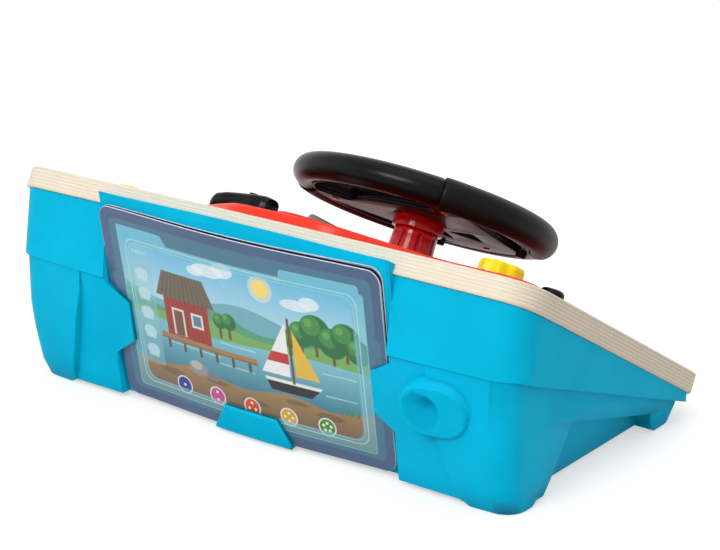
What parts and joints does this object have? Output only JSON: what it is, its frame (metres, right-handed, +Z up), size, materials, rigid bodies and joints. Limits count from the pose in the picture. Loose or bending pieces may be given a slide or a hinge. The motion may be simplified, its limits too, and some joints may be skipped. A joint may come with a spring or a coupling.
{
  "type": "toy dashboard",
  "caption": "Toy car dashboard: moulded base, sloping plywood board with steering wheel, shifter, lever, dials, button and sliding picture cards.",
  "frame": {"origin": "on the ground, midway across the width and midway between the front and the rear", "axes": "+X towards the child's right along the width, +Y from the child to the rear with the picture cards, +Z up"},
  "size_m": [0.53, 0.3372, 0.2426],
  "materials": {
    "base_plastic": "semi-gloss moulded",
    "plywood": "clear lacquer, plies bare at the edge",
    "fascia_plastic": "gloss moulded",
    "column_plastic": "gloss moulded",
    "wheel_plastic": "satin moulded",
    "grip_plastic": "fine grain",
    "yellow_plastic": "gloss moulded",
    "black_plastic": "gloss moulded",
    "lever_plastic": "satin moulded",
    "horn_plastic": "gloss moulded",
    "bearing_plastic": "natural acetal",
    "gauge_print": "printed disc",
    "card_laminate": "printed and laminated",
    "steel": "zinc plated",
    "spring_steel": "drawn wire"
  },
  "bodies": {
    "base": {"base_housing": "base_plastic", "dash_board": "plywood", "fascia": "fascia_plastic", "gauge_disc": "gauge_print", "column_sleeve": "column_plastic", "upper_bush": "bearing_plastic", "lower_bush": "bearing_plastic", "button_cup": "bearing_plastic", "button_spring": "spring_steel", "lever_pin": "steel", "lever_nut": "steel", "board_screw_1": "steel", "board_screw_2": "steel", "board_screw_3": "steel", "board_screw_4": "steel", "board_screw_5": "steel", "board_screw_6": "steel", "fascia_screw_1": "steel", "fascia_screw_2": "steel", "fascia_screw_3": "steel", "fascia_screw_4": "steel"},
    "wheel": {"wheel_body": "wheel_plastic", "grip_left": "grip_plastic", "grip_right": "grip_plastic", "wheel_cover": "wheel_plastic", "hub_screw": "steel", "column_collar": "column_plastic", "steering_shaft": "steel", "shaft_washer": "steel", "shaft_screw": "steel", "horn_spring": "spring_steel", "wheel_screw_1": "steel", "wheel_screw_2": "steel", "wheel_screw_3": "steel"},
    "horn": {"horn_button": "horn_plastic"},
    "left_dial": {"dial_left": "yellow_plastic", "dial_keeper_left": "bearing_plastic"},
    "right_dial": {"dial_right": "yellow_plastic", "dial_keeper_right": "bearing_plastic"},
    "button": {"push_button": "black_plastic"},
    "shifter": {"shift_handle": "black_plastic", "shift_keeper": "bearing_plastic", "shift_screw": "steel", "thumb_spring": "spring_steel"},
    "thumb": {"thumb_button": "black_plastic"},
    "lever": {"signal_lever": "lever_plastic"},
    "back_card": {"card_back": "card_laminate"},
    "middle_card": {"card_middle": "card_laminate"},
    "front_card": {"card_front": "card_laminate"}
  },
  "joints": [
    {"name": "steering", "type": "hinge", "parent": "base", "child": "wheel", "pos_m": [-0.05697, 0.00625, 0.12478], "axis": [0, -0.4749, 0.8801], "continuous": true},
    {"name": "horn_press", "type": "slide", "parent": "wheel", "child": "horn", "axis": [0, -0.4749, 0.8801], "range_m": [-0.0035, 0], "stiffness_N_per_m": 300, "springref_m": 0.001, "deforming": ["horn_spring"]},
    {"name": "left_dial_turn", "type": "hinge", "parent": "base", "child": "left_dial", "pos_m": [-0.18497, 0.06224, 0.15499], "axis": [0, -0.4749, 0.8801], "range_deg": [-150, 150]},
    {"name": "right_dial_turn", "type": "hinge", "parent": "base", "child": "right_dial", "pos_m": [0.205, 0.05783, 0.15261], "axis": [0, -0.4749, 0.8801], "range_deg": [-150, 150]},
    {"name": "button_press", "type": "slide", "parent": "base", "child": "button", "axis": [0, -0.4749, 0.8801], "range_m": [-0.0035, 0], "stiffness_N_per_m": 300, "springref_m": 0.001, "deforming": ["button_spring"]},
    {"name": "shift_slide", "type": "slide", "parent": "base", "child": "shifter", "axis": [0, 0.8801, 0.4749], "range_m": [-0.014, 0.014]},
    {"name": "thumb_press", "type": "slide", "parent": "shifter", "child": "thumb", "axis": [0, -0.4749, 0.8801], "range_m": [-0.0016, 0], "stiffness_N_per_m": 150, "springref_m": 0.001, "deforming": ["thumb_spring"]},
    {"name": "lever_swing", "type": "hinge", "parent": "base", "child": "lever", "pos_m": [-0.02697, 0.00625, 0.12478], "axis": [0, -0.4749, 0.8801], "range_deg": [-12, 12]},
    {"name": "back_card_slide", "type": "slide", "parent": "base", "child": "back_card", "axis": [0, 0.1867, 0.9824], "range_m": [0, 0.11]},
    {"name": "middle_card_slide", "type": "slide", "parent": "base", "child": "middle_card", "axis": [0, 0.1867, 0.9824], "range_m": [0, 0.11]},
    {"name": "front_card_slide", "type": "slide", "parent": "base", "child": "front_card", "axis": [0, 0.1867, 0.9824], "range_m": [0, 0.11]}
  ]
}
